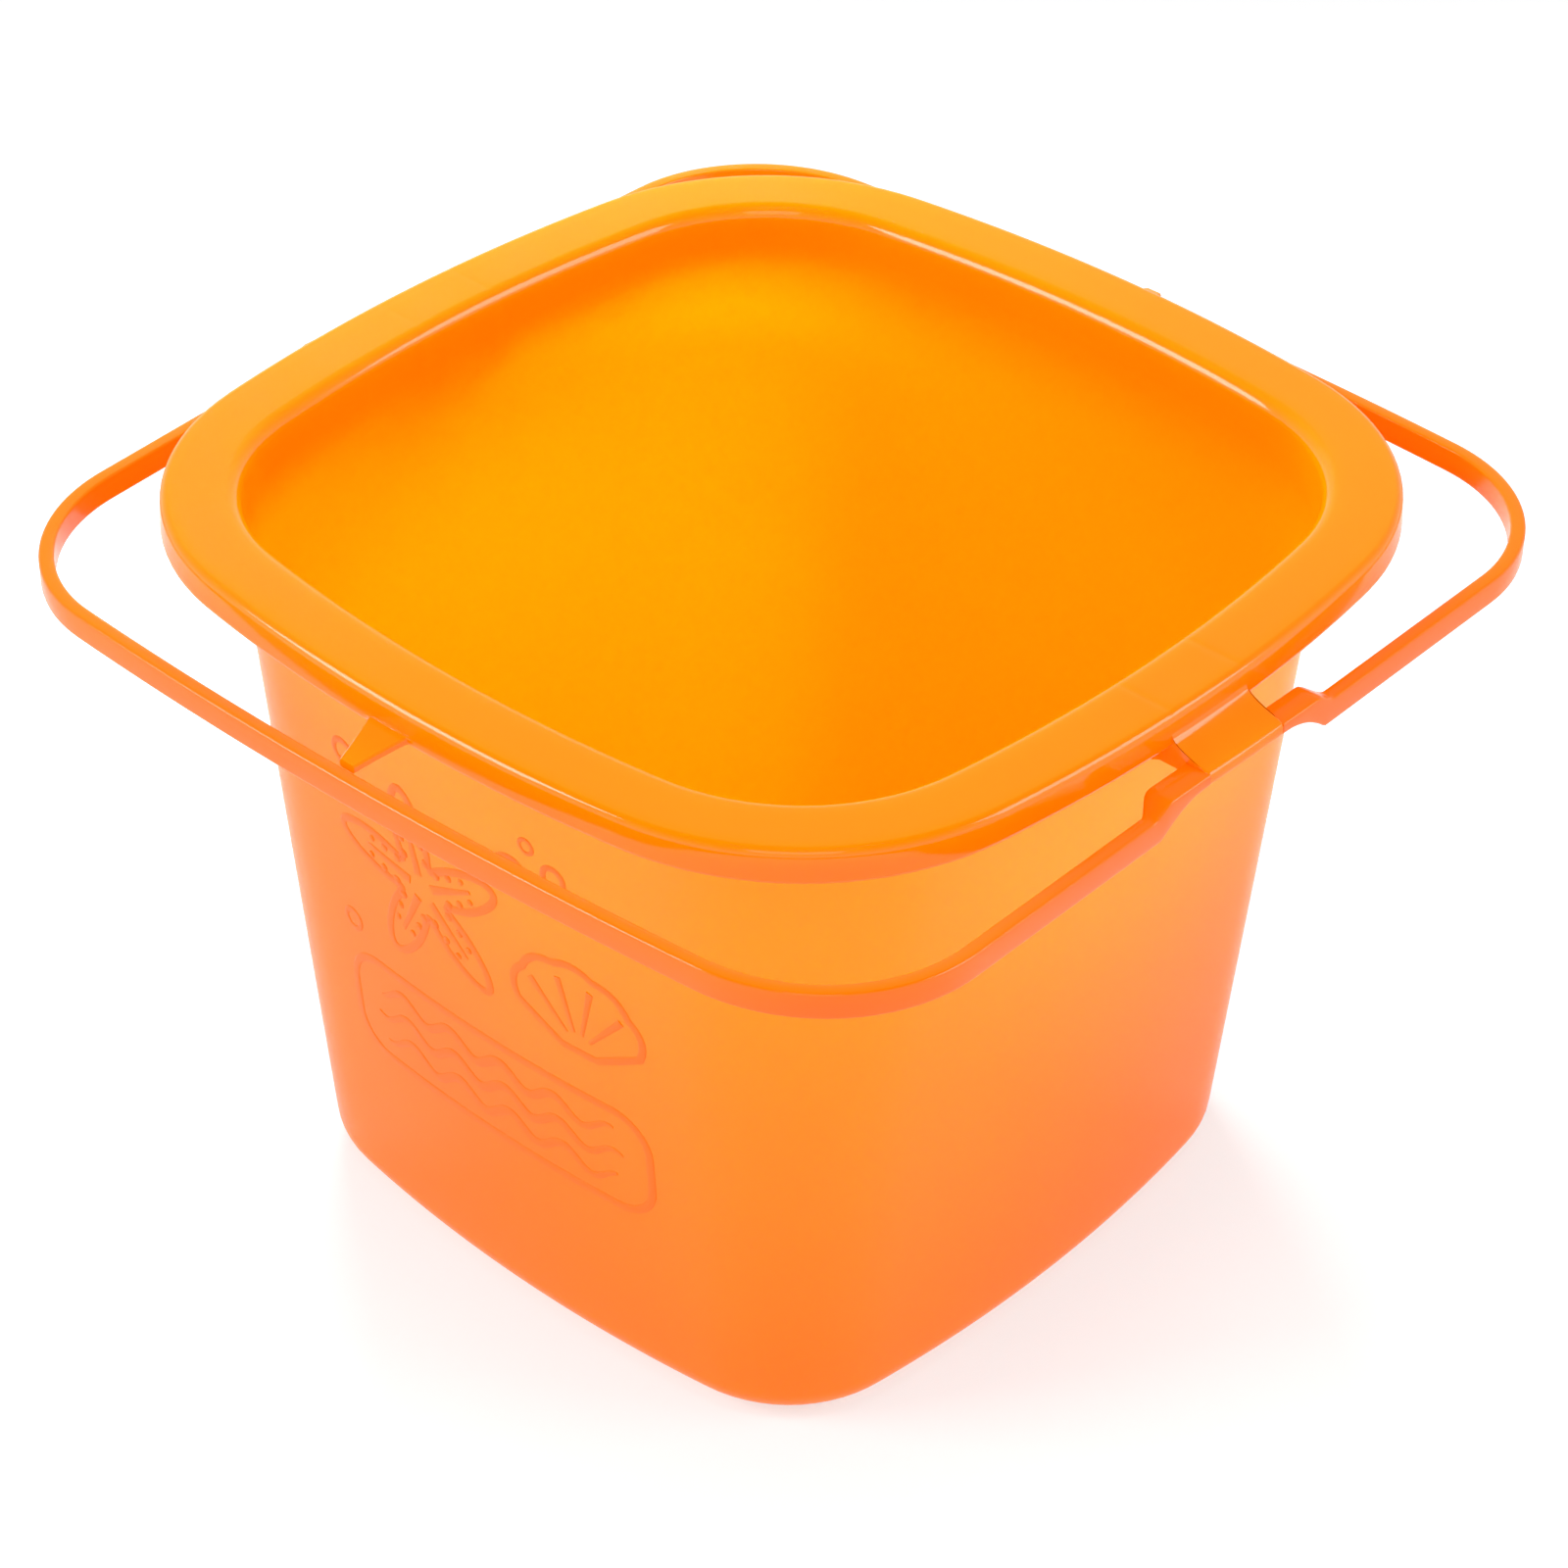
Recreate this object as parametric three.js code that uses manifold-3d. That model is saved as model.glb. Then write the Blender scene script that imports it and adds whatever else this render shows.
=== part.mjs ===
// Square sand bucket in glossy plastic: a tapered tub with a broad flanged rim, and two strap bails
// that lie flat round the rim and turn up about flexible tongues beside the hood on each side.
// Millimetres, +Z up, origin at the centre of the base. The front is -Y, and the hoods are on +X and -X.
import * as THREE from 'three';
import { mergeVertices } from 'three/addons/utils/BufferGeometryUtils.js';
import Module from 'manifold-3d';

const wasm = await Module();
wasm.setup();

// Tub. A half width is measured from the Z axis to the middle of a side.
const HEIGHT = 172;
const RIM_HALF = 110;
const WALL_TOP_HALF = 96;
const WALL_BASE_HALF = 81.7;
const WALL = 2;
const FLOOR = 2.6;
const BASE_RADIUS = 9.5;
const MOUTH_RADIUS = 3.4;
const FOOT_HALF = 68;
const FOOT_RECESS = 1.2;

// Rim: a flat flange whose edge turns down into a short skirt.
const FLANGE = 2.2;
const SKIRT_DEPTH = 7.4;
const SKIRT = 2;
const SKIRT_FLARE = 0.5;
const RIM_EDGE_RADIUS = 1.8;
const LOWER_EDGE_RADIUS = 0.9;

// Plan outline: four shallow side arcs and four corner arcs, whose centres are the same at every level.
const CORNER_CENTRE = 47.3;
const SIDE_CENTRE = 275;
const SMALLEST_DRAWN_HALF = 60;
const TURNS = 72;
const CORNER_CROWDING = 0.35;

// Hood over the roots of the bails, with a rib at each end that runs in to the tub's wall.
const HOOD_REACH = 119.9;
const HOOD_HALF_WIDTH = 11.5;
const HOOD_DEPTH = 11.6;
const HOOD_SHELL = 1.8;
const HOOD_START = RIM_HALF - 0.4;
const HOOD_SLOPE_OUT = 3;
const HOOD_SLOPE_DROP = 5;
const HOOD_LIP_DROP = 8.8;
const HOOD_LIP_ROUND = 1.2;
const RIB = 2;
const RIB_DEPTH = 17.5;

// Tapered tab under the middle of the front and back of the rim.
const TAB_ROOT_WIDTH = 11.6;
const TAB_TIP_WIDTH = 4;
const TAB_THICKNESS = 1.8;
const TAB_DROP = 2.6;
const TAB_GAP = 0.5;

// Bail: a flat strap bent round the rim. Its inner face is two straight legs, two corners and a bar.
const LEG_HALF = 116.6;
const BAR_REACH = 121.6;
const BAR_RADIUS = 1100;
const BEND_RADIUS = 35.3;
const STRAP = 3.2;
const STRAP_HEIGHT = 5.7;
const STRAP_TOP = HEIGHT - 11.5;
const STRAP_EDGE = 0.5;
const LEG_END = 26;

// Root of each leg: a flat tongue at the hood that thickens into the strap.
const TONGUE_INNER = 113.7;
const TONGUE_START = 12.1;
const TONGUE_TOP = HEIGHT - 9.1;
const TONGUE_THICKNESS = 2.6;
const TONGUE_END = 22.5;
const STRAP_START = 28;
const SWEEP_WAIST = 19.5;
const SWEEP_END = 25.5;
const ROOT_STEP_START = 23;
const ROOT_STEP_END = 28.5;
const ROOT_END = 31;

// Making of the solids: how far joined ones run into each other, and how finely curves are drawn.
const OVERLAP = 1;
const MERGE_DISTANCE = 1e-4;
const CURVE_STEPS = 6;
const BEND_STEPS = 12;
const BAR_STEPS = 8;
const ARC_STEP = 2.5;

function outlineRadius(angle, half) {
  const drawn = Math.max(half, SMALLEST_DRAWN_HALF);
  const sideRadius = drawn + SIDE_CENTRE;
  const toCorner = Math.atan2(CORNER_CENTRE, CORNER_CENTRE + SIDE_CENTRE);
  const cornerRadius = sideRadius - Math.hypot(CORNER_CENTRE + SIDE_CENTRE, CORNER_CENTRE);
  const meetingAngle = Math.atan2(
    CORNER_CENTRE + cornerRadius * Math.sin(toCorner),
    CORNER_CENTRE + cornerRadius * Math.cos(toCorner),
  );
  const quarter = Math.PI / 2;
  const turned = ((angle % quarter) + quarter) % quarter;
  const folded = Math.min(turned, quarter - turned);
  const isSideArc = folded < meetingAngle;
  const along = isSideArc
    ? -SIDE_CENTRE * Math.cos(folded)
    : CORNER_CENTRE * (Math.cos(folded) + Math.sin(folded));
  const squaredCentre = isSideArc ? SIDE_CENTRE ** 2 : 2 * CORNER_CENTRE ** 2;
  const arcRadius = isSideArc ? sideRadius : cornerRadius;
  const radius = along + Math.sqrt(along ** 2 - squaredCentre + arcRadius ** 2);
  return radius * (half / drawn);
}

// Turns [half, z, radius] corners into profile points, with an arc where the radius isn't zero.
function roundedProfile(corners) {
  const points = [];
  corners.forEach(([half, z, radius = 0], i) => {
    const corner = new THREE.Vector2(half, z);
    if (radius === 0) {
      points.push(corner);
      return;
    }
    const before = new THREE.Vector2(...corners[i - 1].slice(0, 2)).sub(corner).normalize();
    const after = new THREE.Vector2(...corners[i + 1].slice(0, 2)).sub(corner).normalize();
    const halfAngle = Math.acos(before.dot(after)) / 2;
    const inward = before.clone().add(after).normalize();
    const centre = corner.clone().addScaledVector(inward, radius / Math.sin(halfAngle));
    const first = corner.clone().addScaledVector(before, radius / Math.tan(halfAngle)).sub(centre);
    const last = corner.clone().addScaledVector(after, radius / Math.tan(halfAngle)).sub(centre);
    const sweep = Math.atan2(first.cross(last), first.dot(last));
    const steps = Math.max(2, Math.round(radius / ARC_STEP) + 1);
    for (let step = 0; step <= steps; step += 1) {
      const angle = (sweep * step) / steps;
      points.push(first.clone().rotateAround(new THREE.Vector2(), angle).add(centre));
    }
  });
  return points;
}

// Sweeps a closed profile round the bulged square outline instead of round a circle.
function sweptRound(profile) {
  const geometry = new THREE.LatheGeometry(profile, TURNS);
  geometry.rotateX(Math.PI / 2);
  const places = geometry.attributes.position;
  for (let i = 0; i < places.count; i += 1) {
    const half = Math.hypot(places.getX(i), places.getY(i));
    const even = Math.atan2(places.getY(i), places.getX(i));
    const angle = even + (CORNER_CROWDING / 4) * Math.sin(4 * even);
    const radius = outlineRadius(angle, half);
    places.setXY(i, radius * Math.cos(angle), radius * Math.sin(angle));
  }
  return geometry;
}

function toSolid(geometry) {
  geometry.deleteAttribute('normal');
  geometry.deleteAttribute('uv');
  const merged = mergeVertices(geometry, MERGE_DISTANCE);
  const triangles = [];
  for (let i = 0; i < merged.index.count; i += 3) {
    const corners = [0, 1, 2].map((k) => merged.index.getX(i + k));
    if (new Set(corners).size === 3) {
      triangles.push(...corners);
    }
  }
  const mesh = new wasm.Mesh({
    numProp: 3,
    vertProperties: Float32Array.from(merged.attributes.position.array),
    triVerts: Uint32Array.from(triangles),
  });
  return new wasm.Manifold(mesh);
}

function toMesh(name, solid, material) {
  const { vertProperties, triVerts } = solid.getMesh();
  const geometry = new THREE.BufferGeometry();
  geometry.setAttribute('position', new THREE.BufferAttribute(vertProperties, 3));
  geometry.setIndex(new THREE.BufferAttribute(triVerts, 1));
  geometry.computeVertexNormals();
  const mesh = new THREE.Mesh(geometry, material);
  mesh.name = name;
  return mesh;
}

// A plan shape carried up from one height to another.
function upright(shape, low, high) {
  const geometry = new THREE.ExtrudeGeometry(shape, {
    depth: high - low,
    bevelEnabled: false,
    curveSegments: CURVE_STEPS,
  });
  return geometry.translate(0, 0, low);
}

// A shape drawn in x and z, carried along Y.
function alongY(shape, start, end) {
  return upright(shape, -end, -start).rotateX(Math.PI / 2);
}

// A shape drawn in y and z, carried along X.
function alongX(shape, start, end) {
  return upright(shape, start, end).rotateX(Math.PI / 2).rotateZ(Math.PI / 2);
}

function wallHalf(z) {
  return WALL_BASE_HALF + ((WALL_TOP_HALF - WALL_BASE_HALF) * z) / HEIGHT;
}

function tubShell() {
  const flangeUnder = HEIGHT - FLANGE;
  const skirtBottom = HEIGHT - SKIRT_DEPTH;
  const profile = roundedProfile([
    [0, FOOT_RECESS],
    [FOOT_HALF, FOOT_RECESS],
    [FOOT_HALF + FOOT_RECESS, 0],
    [WALL_BASE_HALF, 0, BASE_RADIUS],
    [wallHalf(flangeUnder), flangeUnder],
    [RIM_HALF - SKIRT, flangeUnder],
    [RIM_HALF - SKIRT + SKIRT_FLARE, skirtBottom],
    [RIM_HALF + SKIRT_FLARE, skirtBottom, LOWER_EDGE_RADIUS],
    [RIM_HALF, HEIGHT, RIM_EDGE_RADIUS],
    [WALL_TOP_HALF - WALL, HEIGHT, MOUTH_RADIUS],
    [wallHalf(FLOOR) - WALL, FLOOR, BASE_RADIUS - WALL],
    [0, FLOOR],
  ]);
  return toSolid(sweptRound(profile));
}

// The hood from the end, drawn in x and z: a slope out from the rim to an upright lip. An inset gives
// the line of its inside, which runs past it where the hood is open.
function hoodShape(inset = 0) {
  const past = inset > 0 ? OVERLAP : 0;
  const back = RIM_HALF - SKIRT - past;
  const bottom = HEIGHT - HOOD_DEPTH - past;
  const top = HEIGHT - inset;
  const reach = HOOD_REACH - inset;
  const shape = new THREE.Shape();
  shape.moveTo(back, top - FLANGE);
  shape.lineTo(HOOD_START - inset, top - FLANGE);
  shape.quadraticCurveTo(
    RIM_HALF + HOOD_SLOPE_OUT - inset, top - HOOD_SLOPE_DROP,
    reach - HOOD_LIP_ROUND, top - HOOD_LIP_DROP,
  );
  shape.quadraticCurveTo(reach, top - HOOD_LIP_DROP, reach, top - HOOD_LIP_DROP - HOOD_LIP_ROUND);
  shape.lineTo(reach, bottom);
  shape.lineTo(back, bottom);
  return shape;
}

function ribShape() {
  const shape = new THREE.Shape();
  shape.moveTo(WALL_TOP_HALF + OVERLAP, HEIGHT - FLANGE / 2);
  shape.lineTo(RIM_HALF - SKIRT / 2, HEIGHT - FLANGE / 2);
  shape.lineTo(RIM_HALF - SKIRT / 2, HEIGHT - HOOD_DEPTH);
  shape.lineTo(wallHalf(HEIGHT - RIB_DEPTH) - WALL / 2, HEIGHT - RIB_DEPTH);
  shape.lineTo(wallHalf(HEIGHT - MOUTH_RADIUS) - WALL / 2, HEIGHT - MOUTH_RADIUS);
  return shape;
}

// The hood and its ribs are the same to front and back, so half a turn carries them across.
function onSide(geometry, side) {
  return toSolid(side > 0 ? geometry : geometry.rotateZ(Math.PI));
}

function tabShape(side) {
  const root = RIM_HALF - SKIRT / 2;
  const tip = BAR_REACH - TAB_GAP;
  const shape = new THREE.Shape();
  shape.moveTo(-TAB_ROOT_WIDTH / 2, side * root);
  shape.lineTo(TAB_ROOT_WIDTH / 2, side * root);
  shape.lineTo(TAB_TIP_WIDTH / 2, side * tip);
  shape.lineTo(-TAB_TIP_WIDTH / 2, side * tip);
  return shape;
}

// The tab falls a little from the skirt's lower edge to its tip.
function tab(side) {
  const low = HEIGHT - SKIRT_DEPTH;
  const geometry = upright(tabShape(side), low, low + TAB_THICKNESS);
  const places = geometry.attributes.position;
  const root = RIM_HALF + SKIRT_FLARE;
  for (let i = 0; i < places.count; i += 1) {
    const out = Math.max(0, Math.abs(places.getY(i)) - root);
    places.setZ(i, places.getZ(i) - (TAB_DROP * out) / (BAR_REACH - root));
  }
  return toSolid(geometry);
}

function tub(material) {
  let solid = tubShell();
  for (const side of [1, -1]) {
    const hood = alongY(hoodShape(), -HOOD_HALF_WIDTH, HOOD_HALF_WIDTH);
    solid = solid.add(onSide(hood, side));
    for (const start of [-HOOD_HALF_WIDTH, HOOD_HALF_WIDTH - RIB]) {
      solid = solid.add(onSide(alongY(ribShape(), start, start + RIB), side));
    }
    const hollow = alongY(hoodShape(HOOD_SHELL), RIB - HOOD_HALF_WIDTH, HOOD_HALF_WIDTH - RIB);
    solid = solid.subtract(onSide(hollow, side));
    solid = solid.add(tab(side));
  }
  return toMesh('tub', solid, material);
}

// The strap in plan, front or back: its outer face one way round and its inner face the other way.
function strapShape(side) {
  const bendX = LEG_HALF - BEND_RADIUS;
  const barY = BAR_REACH - BAR_RADIUS;
  const rise = Math.sqrt((BAR_RADIUS - BEND_RADIUS) ** 2 - bendX ** 2);
  const bendY = barY + rise;
  const meeting = Math.atan2(rise, bendX);
  const face = (grow) => {
    const points = [new THREE.Vector2(LEG_HALF + grow, LEG_END)];
    const right = new THREE.EllipseCurve(
      bendX, bendY, BEND_RADIUS + grow, BEND_RADIUS + grow, 0, meeting,
    );
    const bar = new THREE.EllipseCurve(
      0, barY, BAR_RADIUS + grow, BAR_RADIUS + grow, meeting, Math.PI - meeting,
    );
    const left = new THREE.EllipseCurve(
      -bendX, bendY, BEND_RADIUS + grow, BEND_RADIUS + grow, Math.PI - meeting, Math.PI,
    );
    points.push(...right.getPoints(BEND_STEPS));
    points.push(...bar.getPoints(BAR_STEPS).slice(1, -1));
    points.push(...left.getPoints(BEND_STEPS));
    points.push(new THREE.Vector2(-LEG_HALF - grow, LEG_END));
    return points;
  };
  const loop = [...face(STRAP - STRAP_EDGE), ...face(STRAP_EDGE).reverse()];
  return new THREE.Shape(loop.map((point) => new THREE.Vector2(point.x, side * point.y)));
}

function strap(side) {
  const geometry = new THREE.ExtrudeGeometry(strapShape(side), {
    depth: STRAP_HEIGHT - 2 * STRAP_EDGE,
    bevelThickness: STRAP_EDGE,
    bevelSize: STRAP_EDGE,
    bevelSegments: 1,
  });
  return toSolid(geometry.translate(0, 0, STRAP_TOP - STRAP_HEIGHT + STRAP_EDGE));
}

// The root in plan: flush with the strap outside, and wider than it inside.
function rootPlan(sideX, sideY) {
  const outer = LEG_HALF + STRAP;
  const stepMiddle = (ROOT_STEP_START + ROOT_STEP_END) / 2;
  const shape = new THREE.Shape();
  shape.moveTo(sideX * outer, sideY * TONGUE_START);
  shape.lineTo(sideX * outer, sideY * ROOT_END);
  shape.lineTo(sideX * LEG_HALF, sideY * ROOT_END);
  shape.lineTo(sideX * LEG_HALF, sideY * ROOT_STEP_END);
  shape.bezierCurveTo(
    sideX * LEG_HALF, sideY * stepMiddle,
    sideX * TONGUE_INNER, sideY * stepMiddle,
    sideX * TONGUE_INNER, sideY * ROOT_STEP_START,
  );
  shape.lineTo(sideX * TONGUE_INNER, sideY * TONGUE_START);
  return shape;
}

// The root from the side, drawn in y and z: flat on top, and swept down underneath.
function rootSide(sideY) {
  const strapBottom = STRAP_TOP - STRAP_HEIGHT;
  const tongueBottom = TONGUE_TOP - TONGUE_THICKNESS;
  const stepMiddle = (TONGUE_END + STRAP_START) / 2;
  const shape = new THREE.Shape();
  shape.moveTo(sideY * TONGUE_START, TONGUE_TOP);
  shape.lineTo(sideY * TONGUE_END, TONGUE_TOP);
  shape.bezierCurveTo(
    sideY * stepMiddle, TONGUE_TOP,
    sideY * stepMiddle, STRAP_TOP,
    sideY * STRAP_START, STRAP_TOP,
  );
  shape.lineTo(sideY * ROOT_END, STRAP_TOP - STRAP_EDGE);
  shape.lineTo(sideY * ROOT_END, strapBottom + STRAP_EDGE);
  shape.lineTo(sideY * SWEEP_END, strapBottom);
  shape.quadraticCurveTo(
    sideY * SWEEP_WAIST, tongueBottom,
    sideY * TONGUE_START, tongueBottom,
  );
  return shape;
}

function root(sideX, sideY) {
  const low = STRAP_TOP - STRAP_HEIGHT - OVERLAP;
  const plan = toSolid(upright(rootPlan(sideX, sideY), low, TONGUE_TOP + OVERLAP));
  const reach = LEG_HALF + STRAP + OVERLAP;
  return plan.intersect(toSolid(alongX(rootSide(sideY), -reach, reach)));
}

function bail(name, side, material) {
  const solid = strap(side).add(root(1, side)).add(root(-1, side));
  return toMesh(name, solid, material);
}

const tubPlastic = new THREE.MeshStandardMaterial({ color: 0xff8c12, roughness: 0.22, metalness: 0 });
const bailPlastic = new THREE.MeshStandardMaterial({ color: 0xff7a14, roughness: 0.25, metalness: 0 });

const bucket = new THREE.Group();
bucket.add(tub(tubPlastic));
bucket.add(bail('front_bail', -1, bailPlastic));
bucket.add(bail('back_bail', 1, bailPlastic));

export default bucket;
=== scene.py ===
"""Looks of the square sand bucket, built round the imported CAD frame. Shapes are worked out in mm and turned
to metres by MM as their vertices are made."""

import math

import bmesh
import bpy
import numpy as np
from mathutils import Matrix, Vector


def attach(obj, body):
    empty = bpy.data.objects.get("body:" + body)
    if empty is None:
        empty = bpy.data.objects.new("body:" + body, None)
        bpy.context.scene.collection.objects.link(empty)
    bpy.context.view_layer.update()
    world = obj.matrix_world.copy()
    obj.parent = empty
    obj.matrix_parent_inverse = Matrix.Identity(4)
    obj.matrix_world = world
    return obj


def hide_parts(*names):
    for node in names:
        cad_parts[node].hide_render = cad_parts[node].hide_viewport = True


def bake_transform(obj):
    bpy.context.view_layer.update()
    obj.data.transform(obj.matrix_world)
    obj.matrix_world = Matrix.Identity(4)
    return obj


MM = 0.001

# Tub, in mm, as in the CAD frame.
HEIGHT = 172.0
RIM_HALF = 110.0
WALL_TOP_HALF = 96.0
WALL_BASE_HALF = 81.7
WALL = 2.0
FLOOR = 2.6
BASE_RADIUS = 9.5
MOUTH_RADIUS = 3.4
FOOT_HALF = 68.0
FOOT_RECESS = 1.2
FLANGE = 2.2
SKIRT_DEPTH = 7.4
SKIRT = 2.0
SKIRT_FLARE = 0.5
RIM_EDGE_RADIUS = 1.8
CORNER_CENTRE = 47.3
SIDE_CENTRE = 275.0
SMALLEST_DRAWN_HALF = 60.0

HOOD_REACH = 119.9
HOOD_HALF_WIDTH = 11.5
HOOD_DEPTH = 11.6
HOOD_SHELL = 1.8
HOOD_SHOULDER = 4.6
RIB = 2.0
RIB_DEPTH = 17.5
CHEEK_OUT, CHEEK_DOWN = 0.94, 0.985  # where the hood's side starts to round off, as shares of the rib's reach

# The lines run straight out from the tub this near the middle of a side, and this far out.
STRAIGHT_WITHIN, STRAIGHT_UNTIL = 18, 40
STRAIGHT_FROM, STRAIGHT_BY = 78, 90

SINK_DEPTH, SINK_PLACE, SINK_WIDTH = 0.07, 10.5, 0.8

TAB_ROOT_WIDTH = 11.6
TAB_TIP_WIDTH = 4.0
TAB_THICKNESS = 1.8
TAB_DROP = 2.6
TAB_GAP = 0.5

LEG_HALF = 116.6
BAR_REACH = 121.6
BAR_RADIUS = 1100.0
BEND_RADIUS = 35.3
STRAP = 3.2
STRAP_HEIGHT = 5.7
STRAP_TOP = HEIGHT - 11.5
STRAP_EDGE = 0.55
TONGUE_INNER = 113.7
TONGUE_TOP = HEIGHT - 9.1
TONGUE_THICKNESS = 2.6
STIFF_FROM, STIFF_LENGTH = 26.4, 91.3

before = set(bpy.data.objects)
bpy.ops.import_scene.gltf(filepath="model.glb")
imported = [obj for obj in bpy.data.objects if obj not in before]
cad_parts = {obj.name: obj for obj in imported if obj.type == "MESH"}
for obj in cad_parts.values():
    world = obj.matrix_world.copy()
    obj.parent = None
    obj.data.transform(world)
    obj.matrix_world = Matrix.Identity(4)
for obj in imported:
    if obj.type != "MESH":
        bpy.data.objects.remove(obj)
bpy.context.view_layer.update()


# ---------------------------------------------------------------- mesh helpers
def mesh_object(name, vertices, faces):
    mesh = bpy.data.meshes.new(name)
    mesh.from_pydata([tuple(v) for v in vertices], [], faces)
    mesh.validate()
    mesh.update()
    obj = bpy.data.objects.new(name, mesh)
    bpy.context.scene.collection.objects.link(obj)
    return obj


def smoothstep(x, low, high):
    t = min(1.0, max(0.0, (x - low) / (high - low)))
    return t * t * (3 - 2 * t)


def arc(corner, before, after, radius, steps):
    """Points of a rounded corner, from the side of before to the side of after."""
    corner = Vector(corner)
    to_before = (Vector(before) - corner).normalized()
    to_after = (Vector(after) - corner).normalized()
    half_angle = math.acos(max(-1.0, min(1.0, to_before.dot(to_after)))) / 2
    centre = corner + (to_before + to_after).normalized() * (radius / math.sin(half_angle))
    first = corner + to_before * (radius / math.tan(half_angle)) - centre
    last = corner + to_after * (radius / math.tan(half_angle)) - centre
    start = math.atan2(first.y, first.x)
    sweep = math.atan2(last.y, last.x) - start
    sweep = (sweep + math.pi) % (2 * math.pi) - math.pi
    return [
        (centre.x + radius * math.cos(start + sweep * i / steps),
         centre.y + radius * math.sin(start + sweep * i / steps))
        for i in range(steps + 1)
    ]


def line(a, b, steps, ends=(True, True)):
    """Evenly spaced points from a to b. The two flags say whether each end is among them."""
    first = 0 if ends[0] else 1
    last = steps if ends[1] else steps - 1
    return [
        (a[0] + (b[0] - a[0]) * i / steps, a[1] + (b[1] - a[1]) * i / steps)
        for i in range(first, last + 1)
    ]


def spaced(points, count):
    """The polyline's points, moved to count even distances along it."""
    points = np.array(points, float)
    lengths = np.concatenate([[0], np.cumsum(np.hypot(*np.diff(points, axis=0).T))])
    at = np.linspace(0, lengths[-1], count)
    return [(float(np.interp(t, lengths, points[:, 0])), float(np.interp(t, lengths, points[:, 1])))
            for t in at]


def bezier(a, b, c, steps):
    return [
        ((1 - t) ** 2 * a[0] + 2 * t * (1 - t) * b[0] + t * t * c[0],
         (1 - t) ** 2 * a[1] + 2 * t * (1 - t) * b[1] + t * t * c[1])
        for t in (i / steps for i in range(steps + 1))
    ]


# ---------------------------------------------------------------- tub outline and profile
def corner_start():
    """The angle from the side's own centre at which the corner arc starts."""
    return math.atan2(CORNER_CENTRE, CORNER_CENTRE + SIDE_CENTRE)


def outline_radius(angle, half):
    drawn = max(half, SMALLEST_DRAWN_HALF)
    side_radius = drawn + SIDE_CENTRE
    to_corner = corner_start()
    corner_radius = side_radius - math.hypot(CORNER_CENTRE + SIDE_CENTRE, CORNER_CENTRE)
    meeting = math.atan2(CORNER_CENTRE + corner_radius * math.sin(to_corner),
                         CORNER_CENTRE + corner_radius * math.cos(to_corner))
    quarter = math.pi / 2
    turned = angle % quarter
    folded = min(turned, quarter - turned)
    if folded < meeting:
        along, squared, radius = -SIDE_CENTRE * math.cos(folded), SIDE_CENTRE ** 2, side_radius
    else:
        along = CORNER_CENTRE * (math.cos(folded) + math.sin(folded))
        squared, radius = 2 * CORNER_CENTRE ** 2, corner_radius
    return (along + math.sqrt(along ** 2 - squared + radius ** 2)) * half / drawn


def wall_half(z):
    return WALL_BASE_HALF + (WALL_TOP_HALF - WALL_BASE_HALF) * z / HEIGHT


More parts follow.
